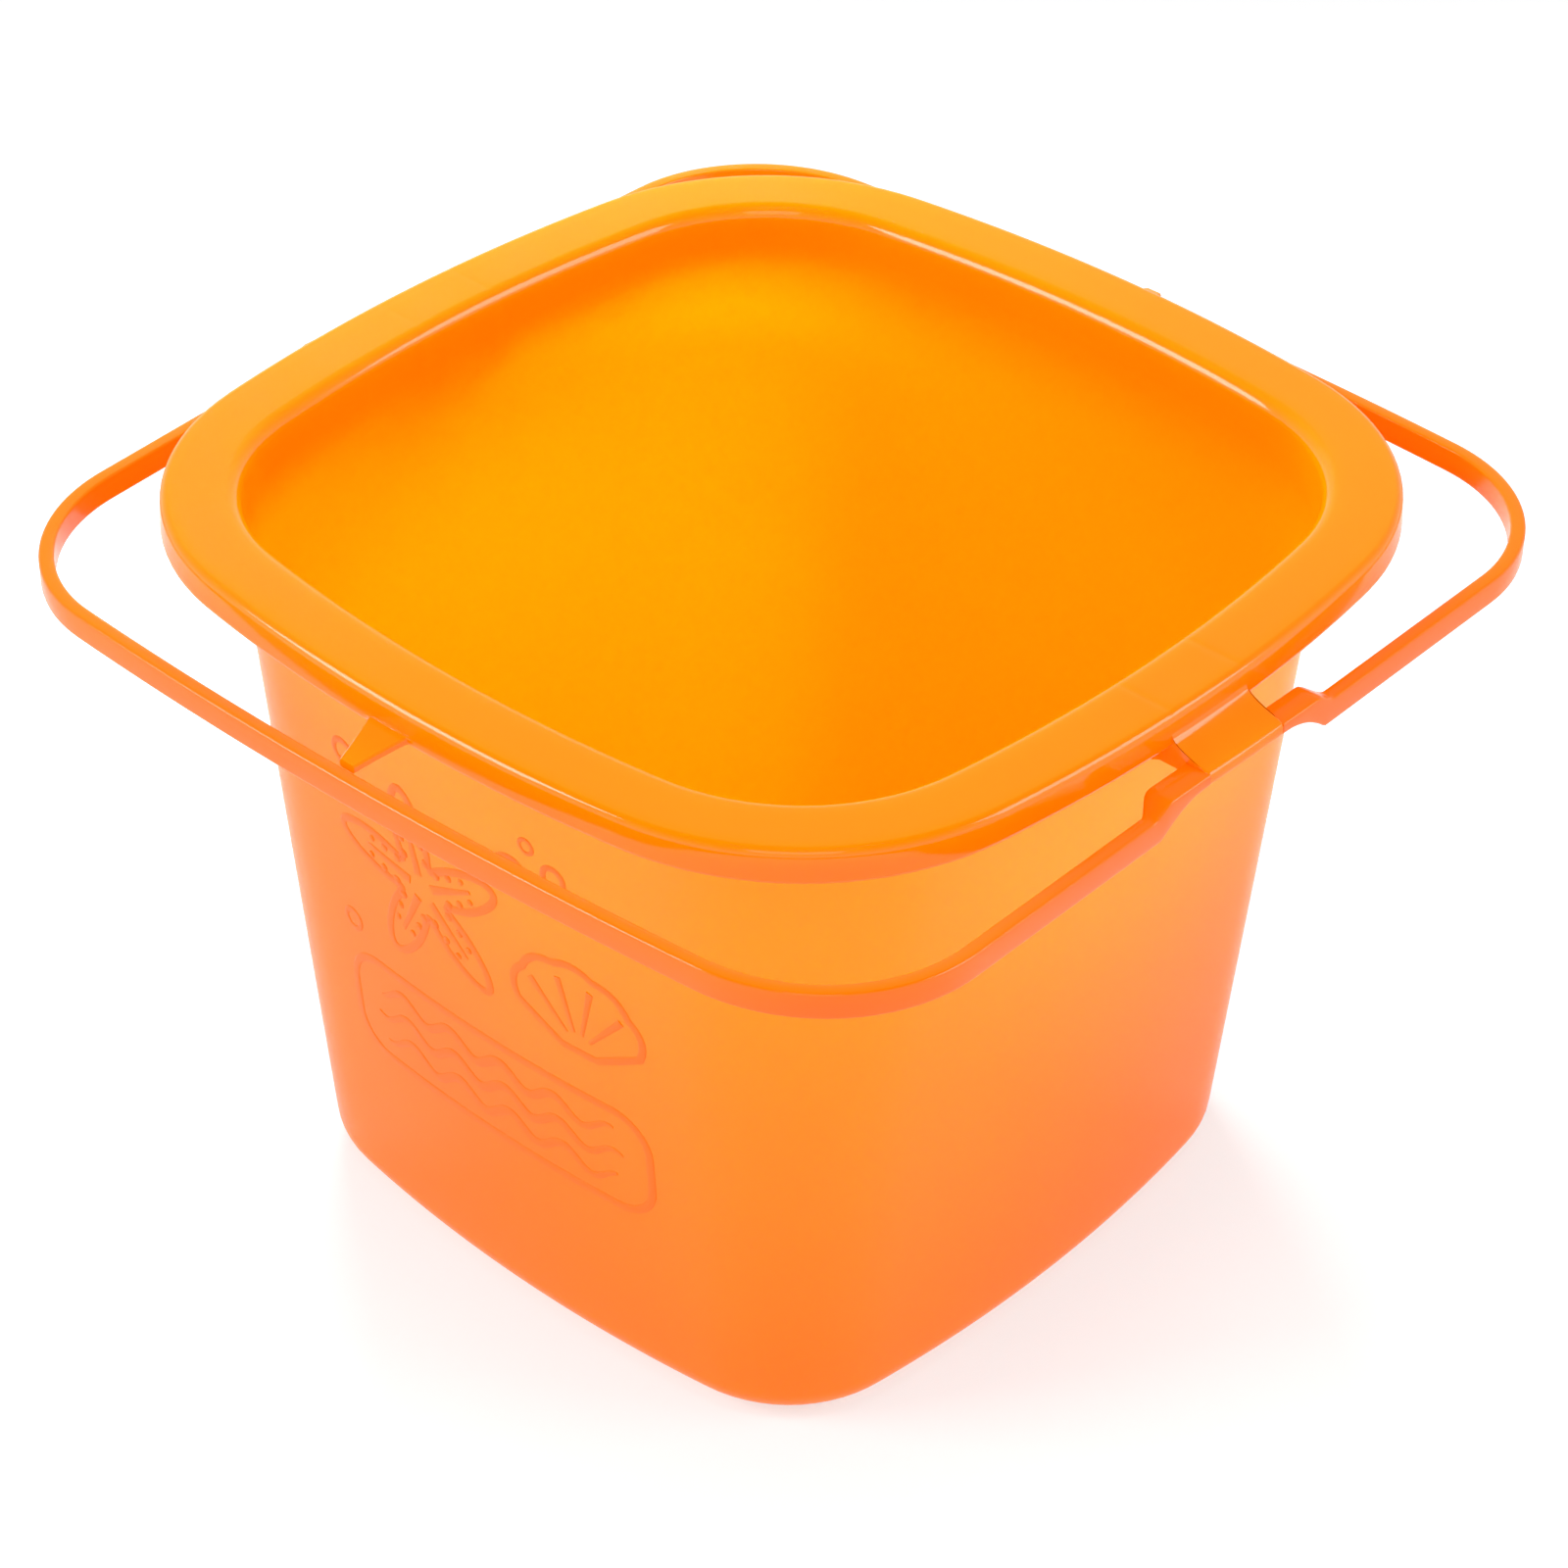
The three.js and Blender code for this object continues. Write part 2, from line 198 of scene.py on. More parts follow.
def tub_profile(kind):
    """(half, z) points from the middle of the floor, up the inside, over the rim, and down to the middle
    of the underside. kind is plain, rib or hood, and each has the same number of points."""
    skirt_bottom = HEIGHT - SKIRT_DEPTH
    under = HEIGHT - FLANGE
    rib_low = HEIGHT - RIB_DEPTH
    hood_low = HEIGHT - HOOD_DEPTH
    floor_corner = (wall_half(FLOOR) - WALL, FLOOR)
    mouth = (WALL_TOP_HALF - WALL, HEIGHT)
    edge = (RIM_HALF, HEIGHT)
    points = line((0, FLOOR), (floor_corner[0] - (BASE_RADIUS - WALL) * 1.2, FLOOR), 8)
    points += arc(floor_corner, (0, FLOOR), mouth, BASE_RADIUS - WALL, 10)
    rise = arc(mouth, floor_corner, edge, MOUTH_RADIUS, 10)
    points += line(points[-1], rise[0], 14, (False, False)) + rise
    outer_edge = arc(edge, mouth, (RIM_HALF + SKIRT_FLARE, skirt_bottom), RIM_EDGE_RADIUS, 7)
    points += line(points[-1], outer_edge[0], 6, (False, False)) + outer_edge

    low_outer = (RIM_HALF + SKIRT_FLARE, skirt_bottom)
    low_inner = (RIM_HALF + SKIRT_FLARE - SKIRT, skirt_bottom)
    skirt_end = arc(low_outer, edge, low_inner, 0.85, 3)
    down = (outer_edge[-1][1] - HEIGHT + HOOD_SHOULDER) / (outer_edge[-1][1] - skirt_end[0][1])
    shoulder = tuple(a + (b - a) * down for a, b in zip(outer_edge[-1], skirt_end[0]))
    lip_outer = (HOOD_REACH, hood_low)
    lip_inner = (HOOD_REACH - HOOD_SHELL, hood_low)
    if kind == "plain":
        bottom = skirt_end + arc(low_inner, low_outer, (RIM_HALF - SKIRT, under), 0.7, 3)
        outside = line(outer_edge[-1], shoulder, 6) + line(shoulder, bottom[0], 18)[1:]
    else:
        slope = bezier(shoulder, (RIM_HALF + 0.9, HEIGHT - 6.9), (HOOD_REACH - 1.3, HEIGHT - 8.8), 12)
        slope += bezier((HOOD_REACH - 1.3, HEIGHT - 8.8), (HOOD_REACH, HEIGHT - 9.0),
                        (HOOD_REACH, HEIGHT - 10.1), 6)[1:]
        bottom = arc(lip_outer, (HOOD_REACH, HEIGHT), lip_inner, 0.45, 3)
        if kind == "hood":
            bottom += arc(lip_inner, lip_outer, (lip_inner[0], HEIGHT), 0.35, 3)
        else:
            bottom += line(lip_inner, (low_inner[0], hood_low), 3)
        outside = line(outer_edge[-1], shoulder, 6)[:-1] + spaced(slope + [bottom[0]], 19)
        outside[-2] = (HOOD_REACH, hood_low + 1.0)
    points += outside[1:-1] + bottom

    wall_top = (wall_half(under), under)
    rib_end = (wall_half(rib_low), rib_low)
    pocket = (RIM_HALF - SKIRT, under)
    if kind == "plain":
        inside = line(bottom[-1], (pocket[0], under - 0.8), 11, (False, True))
    elif kind == "rib":
        inside = line(bottom[-1], (pocket[0], hood_low), 11, (False, True))
    else:
        reach = HOOD_REACH - HOOD_SHELL
        hollow = [bottom[-1]] + bezier((reach, HEIGHT - 11.0), (reach - 1.0, HEIGHT - 10.4),
                                       (reach - 2.2, HEIGHT - 10.0), 4)
        hollow += bezier((reach - 2.2, HEIGHT - 10.0), (RIM_HALF + 1.0, HEIGHT - 7.9),
                         (pocket[0] + 0.2, HEIGHT - 3.6), 10)[1:]
        inside = spaced(hollow + [(pocket[0], under - 0.8)], 12)[1:]
    points += inside
    if kind == "rib":
        edge_under = line((pocket[0], hood_low), rib_end, 26, (False, True))
    else:
        edge_under = arc(pocket, (pocket[0], 0), wall_top, 0.6, 3)[1:]
        fillet = arc(wall_top, pocket, rib_end, 0.8, 4)
        edge_under += line(edge_under[-1], fillet[0], 8, (False, False)) + fillet
        edge_under += line(fillet[-1], rib_end, 26 - len(edge_under), (False, True))
    points += edge_under

    base = arc((WALL_BASE_HALF, 0), rib_end, (FOOT_HALF, 0), BASE_RADIUS, 12)
    points += line(rib_end, base[0], 16, (False, False)) + base
    foot = (FOOT_HALF + FOOT_RECESS, 0)
    points += line(base[-1], (foot[0] + 0.3, 0), 2, (False, True)) + [(foot[0], 0.1)]
    points += [(FOOT_HALF, FOOT_RECESS - 0.1), (FOOT_HALF - 0.3, FOOT_RECESS)]
    points += line((FOOT_HALF - 0.3, FOOT_RECESS), (5.2, FOOT_RECESS), 6, (False, True))
    points += [(4.6, FOOT_RECESS - 0.25), (4.2, 0.65), (3.6, 0.5), (1.6, 0.5), (1.2, 0.75), (0, 0.8)]
    return points


def stations():
    """(reference angle, kind, how far out towards that kind) round the tub, closed."""
    def on_side(y):
        return math.atan2(y, math.sqrt((RIM_HALF + SIDE_CENTRE) ** 2 - y * y) - SIDE_CENTRE)

    hood_end, rib_inner = HOOD_HALF_WIDTH, HOOD_HALF_WIDTH - RIB
    right = [(y, "hood") for y in (0.0, 2.0, 4.0, 6.0, 8.0, 9.0, rib_inner)]
    right += [(y, "rib") for y in (rib_inner, 10.0, 10.5, 11.0, hood_end - 0.3)]
    right += [(hood_end, "edge")]
    right += [(y, "plain") for y in (hood_end, 12.0, 12.8, 14.0, 16.5)]
    half = [(on_side(y), kind) for y, kind in right]
    steps = 46
    start = half[-1][0]
    quarter = [(start + (math.pi / 2 - start) * i / steps, "plain") for i in range(1, steps + 1)]
    first = half + quarter
    second = [(math.pi - a, kind) for a, kind in reversed(first[:-1])]
    top = first + second
    bottom = [(2 * math.pi - a, kind) for a, kind in reversed(top[1:-1])]
    return top + bottom


def tub_vertex(angle, half, z):
    """The point at that half width near that angle. Close to the hoods the lines run straight out from the
    tub."""
    ref = outline_radius(angle, RIM_HALF)
    across = ref * math.sin(angle)
    radius_angle = angle
    if abs(across) < STRAIGHT_UNTIL and half > STRAIGHT_FROM:
        sign = 1 if math.cos(angle) > 0 else -1
        out = math.sqrt((half + SIDE_CENTRE) ** 2 - across * across) - SIDE_CENTRE
        straight = math.atan2(across, sign * out)
        weight = 1 - smoothstep(abs(across), STRAIGHT_WITHIN, STRAIGHT_UNTIL)
        weight *= smoothstep(half, STRAIGHT_FROM, STRAIGHT_BY)
        change = (straight - angle + math.pi) % (2 * math.pi) - math.pi
        radius_angle = angle + change * weight
    radius = outline_radius(radius_angle, half)
    x, y = radius * math.cos(radius_angle), radius * math.sin(radius_angle)
    if abs(x) > WALL_TOP_HALF and z > HEIGHT - 0.3 and abs(y) < 14:
        z -= SINK_DEPTH * math.exp(-((abs(y) - SINK_PLACE) / SINK_WIDTH) ** 2)
    return (x * MM, y * MM, z * MM)


def tub_mesh():
    profiles = {kind: tub_profile(kind) for kind in ("plain", "rib", "hood")}
    counts = {kind: len(p) for kind, p in profiles.items()}
    assert len(set(counts.values())) == 1, counts
    plain, rib = profiles["plain"], profiles["rib"]
    profiles["edge"] = [(a[0] + (b[0] - a[0]) * CHEEK_OUT, a[1] + (b[1] - a[1]) * CHEEK_DOWN)
                        for a, b in zip(plain, rib)]
    ring = stations()
    count = len(plain)
    vertices = [(0, 0, plain[0][1] * MM), (0, 0, plain[-1][1] * MM)]
    for angle, kind in ring:
        vertices += [tub_vertex(angle, half, z) for half, z in profiles[kind][1:-1]]
    rows = count - 2
    faces = []
    for i in range(len(ring)):
        a, b = 2 + i * rows, 2 + ((i + 1) % len(ring)) * rows
        faces.append((0, a, b))
        faces.append((1, b + rows - 1, a + rows - 1))
        faces += [(a + k, a + k + 1, b + k + 1, b + k) for k in range(rows - 1)]
    obj = mesh_object("tub_body", vertices, faces)
    merge(obj)
    return obj


def merge(obj, distance=2e-6, sharp_degrees=38.0):
    """Joins the points that coincide, drops the faces that this closes up, turns every face outward, and
    shades smoothly up to that angle."""
    bm = bmesh.new()
    bm.from_mesh(obj.data)
    bmesh.ops.remove_doubles(bm, verts=bm.verts, dist=distance)
    bmesh.ops.dissolve_degenerate(bm, edges=bm.edges, dist=distance)
    bmesh.ops.recalc_face_normals(bm, faces=bm.faces)
    bm.to_mesh(obj.data)
    bm.free()
    obj.data.shade_smooth()
    obj.data.set_sharp_from_angle(angle=math.radians(sharp_degrees))


def tab_mesh(side):
    """The tapered tab under the middle of the rim, from inside the skirt to just short of the bar."""
    root, tip = RIM_HALF - SKIRT / 2, BAR_REACH - TAB_GAP
    rows = []
    steps = 8
    for i in range(steps + 1):
        out = root + (tip - root) * i / steps
        share = i / steps
        half_width = (TAB_ROOT_WIDTH + (TAB_TIP_WIDTH - TAB_ROOT_WIDTH) * share ** 0.85) / 2
        drop = TAB_DROP * max(0.0, out - RIM_HALF - SKIRT_FLARE) / (tip - RIM_HALF - SKIRT_FLARE)
        low = HEIGHT - SKIRT_DEPTH - drop
        high = low + TAB_THICKNESS
        edge = 0.35
        section = [(-half_width, low + edge), (-half_width + edge, low),
                   (half_width - edge, low), (half_width, low + edge),
                   (half_width, high - edge), (half_width - edge, high),
                   (-half_width + edge, high), (-half_width, high - edge)]
        rows.append([(x * MM, side * out * MM, z * MM) for x, z in section])
    vertices, faces = swept(rows, False)
    obj = mesh_object("tab", vertices, faces)
    merge(obj)
    return obj


def swept(rows, closed):
    """Vertices and faces of a skin over rows of equal length, each a closed ring, with flat ends unless
    closed."""
    n, count = len(rows[0]), len(rows)
    vertices = [v for row in rows for v in row]
    faces = []
    for i in range(count if closed else count - 1):
        a, b = i * n, ((i + 1) % count) * n
        faces += [(a + k, a + (k + 1) % n, b + (k + 1) % n, b + k) for k in range(n)]
    if not closed:
        faces.append(tuple(range(n - 1, -1, -1)))
        faces.append(tuple(range((count - 1) * n, count * n)))
    return vertices, faces


def join_solid(obj, *others):
    """Unites the closed meshes into obj's own and removes the others."""
    for other in others:
        modifier = obj.modifiers.new("union", "BOOLEAN")
        modifier.operation = "UNION"
        modifier.solver = "EXACT"
        modifier.object = other
    graph = bpy.context.evaluated_depsgraph_get()
    mesh = bpy.data.meshes.new_from_object(obj.evaluated_get(graph))
    obj.modifiers.clear()
    old = obj.data
    obj.data = mesh
    bpy.data.meshes.remove(old)
    for other in others:
        bpy.data.objects.remove(other)


# ---------------------------------------------------------------- bails
def bail_path():
    """(x, y, outward x, outward y) along the inner face of the strap, from the right root to the left one.
    y counts away from the hoods, in mm."""
    bend_x = LEG_HALF - BEND_RADIUS
    bar_y = BAR_REACH - BAR_RADIUS
    rise = math.sqrt((BAR_RADIUS - BEND_RADIUS) ** 2 - bend_x ** 2)
    bend_y = bar_y + rise
    meeting = math.atan2(rise, bend_x)
    path = []
    y = 11.3
    while y < bend_y - 0.5:
        path.append((LEG_HALF, y, 1.0, 0.0))
        y += 0.8 if y < 31 else 3.0
    for i in range(31):
        a = meeting * i / 30
        path.append((bend_x + BEND_RADIUS * math.cos(a), bend_y + BEND_RADIUS * math.sin(a),
                     math.cos(a), math.sin(a)))
    for i in range(1, 25):
        a = meeting + (math.pi / 2 - meeting) * i / 24
        path.append((BAR_RADIUS * math.cos(a), bar_y + BAR_RADIUS * math.sin(a), math.cos(a), math.sin(a)))
    left = [(-x, y, -nx, ny) for x, y, nx, ny in reversed(path[:-1])]
    return path + left


def strap_section(y, on_leg):
    """(inner, outer, bottom, top) of the strap's section at that distance from the hoods, in mm."""
    strap_bottom = STRAP_TOP - STRAP_HEIGHT
    tongue_bottom = TONGUE_TOP - TONGUE_THICKNESS
    if not on_leg:
        return 0.0, STRAP, strap_bottom, STRAP_TOP
    step = smoothstep(y, 23.0, 28.5)
    inner = (TONGUE_INNER - LEG_HALF) * (1 - step)
    top = TONGUE_TOP + (STRAP_TOP - TONGUE_TOP) * smoothstep(y, 22.5, 28.0)
    t = min(1.0, max(0.0, (y - 12.1) / (25.5 - 12.1)))
    bottom = tongue_bottom + (strap_bottom - tongue_bottom) * t ** 2.1
    return inner, STRAP, bottom, top


def bail_mesh(name, side, shift, slope, tilt):
    """side is -1 at the front and 1 at the back. shift, slope and tilt are how the moulding has sprung: the
    sideways move of the bar in mm, its rise per mm out from the roots, and its rise per mm to the right."""
    rows = []
    corner_steps = 4
    for x, y, nx, ny in bail_path():
        inner, outer, bottom, top = strap_section(y, y < 60 and abs(ny) < 1e-6)
        edge = min(STRAP_EDGE, (top - bottom) / 2 - 0.05)
        section = []
        for cx, cz, start in ((outer - edge, top - edge, 0), (inner + edge, top - edge, 90),
                              (inner + edge, bottom + edge, 180), (outer - edge, bottom + edge, 270)):
            for k in range(corner_steps + 1):
                a = math.radians(start + 90 * k / corner_steps)
                section.append((cx + edge * math.cos(a), cz + edge * math.sin(a)))
        away = min(1.2, max(0.0, (y - STIFF_FROM) / STIFF_LENGTH))
        row = []
        for out, z in section:
            px, py = x + nx * out, y + ny * out
            rise = slope * max(0.0, y - STIFF_FROM) + tilt * x * away
            row.append(((px + shift * away) * MM, side * py * MM, (z + rise) * MM))
        rows.append(row)
    vertices, faces = swept(rows, False)
    obj = mesh_object(name, vertices, faces)
    merge(obj, sharp_degrees=50.0)
    return obj


# ---------------------------------------------------------------- emblem
def on_front(x, z, height):
    """The point that far off the front wall's outer surface, all in mm."""
    radius = wall_half(z) + SIDE_CENTRE
    lean = (WALL_TOP_HALF - WALL_BASE_HALF) / HEIGHT
    normal = Vector((x / radius, -math.sqrt(1 - (x / radius) ** 2), -lean)).normalized()
    point = Vector((x, SIDE_CENTRE - math.sqrt(radius ** 2 - x * x), z)) + normal * height
    return tuple(point * MM)


RELIEF = 0.16
SUNK = 0.25


def ribbon(points, width, closed):
    """Skin of a raised line along the points, which are (x, z) on the front in mm. width may vary along
    it."""
    count = len(points)
    rows = []
    for i, (x, z) in enumerate(points):
        before = points[(i - 1) % count] if closed or i > 0 else points[i]
        after = points[(i + 1) % count] if closed or i < count - 1 else points[i]
        tangent = Vector((after[0] - before[0], after[1] - before[1])).normalized()
        across = Vector((-tangent.y, tangent.x))
        half = (width(i / max(1, count - 1)) if callable(width) else width) / 2
        soft = min(0.35, half * 0.6)
        section = [(-half, -SUNK), (half, -SUNK), (half, RELIEF * 0.35),
                   (half - soft * 0.45, RELIEF * 0.82), (half - soft, RELIEF),
                   (-half + soft, RELIEF), (-half + soft * 0.45, RELIEF * 0.82), (-half, RELIEF * 0.35)]
        rows.append([on_front(x + across.x * s, z + across.y * s, h) for s, h in section])
    return swept(rows, closed)


def around(centre, radius_of, count):
    return [(centre[0] + radius_of(a) * math.cos(a), centre[1] + radius_of(a) * math.sin(a))
            for a in (2 * math.pi * i / count for i in range(count))]


def rounded_rectangle(centre, width, height, radius, step=1.5):
    points = []
    for sx, sz, start in ((1, 1, 0), (-1, 1, 90), (-1, -1, 180), (1, -1, 270)):
        for k in range(9):
            a = math.radians(start + 90 * k / 8)
            points.append((centre[0] + sx * (width / 2 - radius) + radius * math.cos(a),
                           centre[1] + sz * (height / 2 - radius) + radius * math.sin(a)))
    dense = []
    for i, p in enumerate(points):
        q = points[(i + 1) % len(points)]
        n = max(1, round(math.dist(p, q) / step))
        dense += [(p[0] + (q[0] - p[0]) * k / n, p[1] + (q[1] - p[1]) * k / n) for k in range(n)]
    return dense


def emblem_mesh():
    """A plain seaside relief: a starfish, a shell and bubbles over a rounded panel of waves."""
    parts = []
    panel = (0.0, 62.5)
    parts.append(ribbon(rounded_rectangle(panel, 86.0, 27.0, 9.0), 1.9, True))
    for row in (-6.6, 0.0, 6.6):
        reach = 36.0 if row == 0 else 34.0
        wave = [(x, panel[1] + row + 2.0 * math.sin(2 * math.pi * x / 15.0 + row))
                for x in (-reach + 2 * reach * i / 90 for i in range(91))]
        parts.append(ribbon(wave, lambda t: 0.7 + 1.6 * math.sin(math.pi * min(1, max(0, t))) ** 0.5, False))
    star, turn = (-15.0, 108.0), math.radians(99)

    def star_radius(a):
        c = math.cos(5 * (a - turn))
        return 15.0 + 7.6 * c + 2.2 * max(0.0, c) ** 3

    parts.append(ribbon(around(star, star_radius, 150), 1.9, True))
    for arm in range(5):
        a = turn + 2 * math.pi * arm / 5
        spine = [(star[0] + r * math.cos(a), star[1] + r * math.sin(a))
                 for r in (3.5 + 13.5 * i / 12 for i in range(13))]
        parts.append(ribbon(spine, lambda t: 2.2 - 1.3 * t, False))
        for r, off, size in ((7.5, 3.4, 1.1), (11.5, 3.0, 0.95), (15.5, 2.4, 0.8)):
            for s in (-1, 1):
                centre = (star[0] + r * math.cos(a) - s * off * math.sin(a),
                          star[1] + r * math.sin(a) + s * off * math.cos(a))
                parts.append(dot(centre, size))
    hinge, spread = (27.0, 88.0), math.radians(68)
    fan = []
    for i in range(61):
        a = math.pi / 2 + spread * (1 - 2 * i / 60)
        scallop = 22.0 + 0.9 * abs(math.sin(5 * math.pi * i / 60)) - 5.0 * abs(1 - 2 * i / 60) ** 3
        fan.append((hinge[0] + scallop * math.cos(a), hinge[1] + scallop * math.sin(a)))
    left = line(fan[-1], (hinge[0] + 4.5, hinge[1]), 10, (False, True))
    right = line((hinge[0] - 4.5, hinge[1]), fan[0], 10, (True, False))
    base = [(hinge[0] + 4.5 - 9.0 * k / 6, hinge[1]) for k in range(1, 6)]
    parts.append(ribbon(fan + left + base + right, 1.8, True))
    for i in range(1, 5):
        a = math.pi / 2 + spread * (1 - 2 * i / 5)
        rib = [(hinge[0] + r * math.cos(a), hinge[1] + 0.6 + r * math.sin(a))
               for r in (4.5 + 13.5 * k / 12 for k in range(13))]
        parts.append(ribbon(rib, lambda t: 0.8 + 0.9 * t, False))
    bubbles = (((13.0, 128.0), 4.2), ((24.5, 132.5), 2.6), ((18.0, 137.5), 1.7), ((-36.0, 132.0), 3.0),
               ((-41.0, 84.0), 2.4))
    for centre, radius in bubbles:
        parts.append(ribbon(around(centre, lambda a, r=radius: r, 36), min(1.4, radius * 0.55), True))
    vertices, faces = [], []
    for v, f in parts:
        faces += [tuple(i + len(vertices) for i in face) for face in f]
        vertices += v
    obj = mesh_object("front_emblem", vertices, faces)
    merge(obj, 1e-7, 60.0)
    return obj


def dot(centre, size):
    """A low round dot on the front."""
    rings = [(1.0, -SUNK), (1.0, 0.05), (0.9, 0.16), (0.66, 0.26), (0.35, 0.31)]
    n = 14
    vertices = [on_front(centre[0] + size * r * math.cos(2 * math.pi * k / n),
                         centre[1] + size * r * math.sin(2 * math.pi * k / n), h)
                for r, h in rings for k in range(n)]
    vertices += [on_front(centre[0], centre[1], 0.32), on_front(centre[0], centre[1], -SUNK)]
    faces = [(i * n + k, i * n + (k + 1) % n, (i + 1) * n + (k + 1) % n, (i + 1) * n + k)
             for i in range(len(rings) - 1) for k in range(n)]
    top = (len(rings) - 1) * n
    faces += [(top + k, top + (k + 1) % n, len(rings) * n) for k in range(n)]
    faces += [((k + 1) % n, k, len(rings) * n + 1) for k in range(n)]
    return vertices, faces


tub_body = tub_mesh()
join_solid(tub_body, tab_mesh(-1), tab_mesh(1))
front = bail_mesh("front_bail_strap", -1, shift=5.7, slope=0.025, tilt=0.028)
back = bail_mesh("back_bail_strap", 1, shift=-2.4, slope=-0.019, tilt=0.009)
emblem = emblem_mesh()


# ---------------------------------------------------------------- materials
def add_node(tree, kind, **values):
    node = tree.nodes.new(kind)
    for key, value in values.items():
        if hasattr(node, key):
            setattr(node, key, value)
        else:
            node.inputs[key.replace("_", " ")].default_value = value
    return node


THICK_FROM, THICK_ABOVE = 158.0, 163.0


def plastic(name, base, spread, through, passing, roughness):
    """Injection-moulded polypropylene: glossy and a little translucent, with a faint ripple from the mould,
    fine scratches and slow drifts of tint. through is the colour of the light that comes through it, and
    passing is how much does, in the walls and up at the rim, where the plastic is doubled."""
    material = bpy.data.materials.new(name)
    material.use_nodes = True
    tree = material.node_tree
    shader = tree.nodes["Principled BSDF"]
    link = tree.links.new
    where = add_node(tree, "ShaderNodeTexCoord")

    drift = add_node(tree, "ShaderNodeTexNoise", Scale=9.0, Detail=3.0, Roughness=0.5)
    link(where.outputs["Object"], drift.inputs["Vector"])
    tint = add_node(tree, "ShaderNodeValToRGB")
    for element, place, change in zip(tint.color_ramp.elements, (0.3, 0.7), (1 - spread, 1 + spread)):
        element.position = place
        element.color = (base[0], base[1] * change, base[2], 1)
    link(drift.outputs["Fac"], tint.inputs["Fac"])
    link(tint.outputs["Color"], shader.inputs["Base Color"])

    scratch = add_node(tree, "ShaderNodeTexNoise", Scale=60.0, Detail=4.0, Roughness=0.6)
    stretch = add_node(tree, "ShaderNodeMapping")
    stretch.inputs["Scale"].default_value = (1.0, 1.0, 9.0)
    stretch.inputs["Rotation"].default_value = (0.5, 0.3, 0.2)
    link(where.outputs["Object"], stretch.inputs["Vector"])
    link(stretch.outputs["Vector"], scratch.inputs["Vector"])
    rough = add_node(tree, "ShaderNodeMapRange")
    rough.inputs["From Min"].default_value = 0.35
    rough.inputs["From Max"].default_value = 0.75
    rough.inputs["To Min"].default_value = roughness
    rough.inputs["To Max"].default_value = roughness + 0.05
    link(scratch.outputs["Fac"], rough.inputs["Value"])
    link(rough.outputs["Result"], shader.inputs["Roughness"])

    ripple = add_node(tree, "ShaderNodeTexNoise", Scale=38.0, Detail=2.0, Roughness=0.45)
    link(where.outputs["Object"], ripple.inputs["Vector"])
    grain = add_node(tree, "ShaderNodeTexNoise", Scale=900.0, Detail=2.0, Roughness=0.5)
    link(where.outputs["Object"], grain.inputs["Vector"])
    coarse = add_node(tree, "ShaderNodeBump", Strength=0.1, Distance=0.0006)
    link(ripple.outputs["Fac"], coarse.inputs["Height"])
    fine = add_node(tree, "ShaderNodeBump", Strength=0.05, Distance=0.00005)
    link(grain.outputs["Fac"], fine.inputs["Height"])
    link(coarse.outputs["Normal"], fine.inputs["Normal"])
    link(fine.outputs["Normal"], shader.inputs["Normal"])
    shader.inputs["IOR"].default_value = 1.49
    shader.inputs["Specular IOR Level"].default_value = 0.55

    glow = add_node(tree, "ShaderNodeBsdfTranslucent")
    glow.inputs["Color"].default_value = (*through, 1)
    mixed = add_node(tree, "ShaderNodeMixShader")
    height = add_node(tree, "ShaderNodeSeparateXYZ")
    link(where.outputs["Object"], height.inputs[0])
    thinner = add_node(tree, "ShaderNodeMapRange")
    thinner.inputs["From Min"].default_value = THICK_FROM * MM
    thinner.inputs["From Max"].default_value = THICK_ABOVE * MM
    thinner.inputs["To Min"].default_value, thinner.inputs["To Max"].default_value = passing
    link(height.outputs["Z"], thinner.inputs["Value"])
    link(thinner.outputs["Result"], mixed.inputs[0])
    link(shader.outputs[0], mixed.inputs[1])
    link(glow.outputs[0], mixed.inputs[2])
    link(mixed.outputs[0], tree.nodes["Material Output"].inputs["Surface"])
    return material


tub_plastic = plastic("tub_polypropylene", (1.0, 0.21, 0.0), 0.06, (1.0, 0.70, 0.03), (0.5, 0.32), 0.06)
bail_plastic = plastic("bail_polypropylene", (1.0, 0.17, 0.0), 0.06, (1.0, 0.50, 0.02), (0.3, 0.3), 0.09)


def plain_material(name, colour, roughness):
    material = bpy.data.materials.new(name)
    material.use_nodes = True
    shader = material.node_tree.nodes["Principled BSDF"]
    shader.inputs["Base Color"].default_value = (*colour, 1)
    shader.inputs["Roughness"].default_value = roughness
    shader.inputs["Specular IOR Level"].default_value = 0.0
    shader.inputs["Emission Color"].default_value = (1, 1, 1, 1)
    shader.inputs["Emission Strength"].default_value = 0.6
    return material


for obj, material in ((tub_body, tub_plastic), (emblem, tub_plastic),
                      (front, bail_plastic), (back, bail_plastic)):
    obj.data.materials.clear()
    obj.data.materials.append(material)

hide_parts("tub")
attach(tub_body, "tub")
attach(emblem, "tub")
for obj, body, side in ((front, "front_bail", -1), (back, "back_bail", 1)):
    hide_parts(body)
    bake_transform(obj)

# ---------------------------------------------------------------- floor, light and camera
FLOOR_REACH = 1.3
FLOOR_GAP = 0.0002
LOWEST_LIGHT = 0.35
floor_mesh = bpy.data.meshes.new("floor")
reach = FLOOR_REACH
floor_mesh.from_pydata([(-reach, -reach, 0), (reach, -reach, 0), (reach, reach, 0), (-reach, reach, 0)],
                       [], [(0, 1, 2, 3)])
floor = bpy.data.objects.new("floor", floor_mesh)
bpy.context.scene.collection.objects.link(floor)
floor.location.z = -FLOOR_GAP
floor.data.materials.append(plain_material("floor_paper", (0.35, 0.35, 0.35), 0.9))

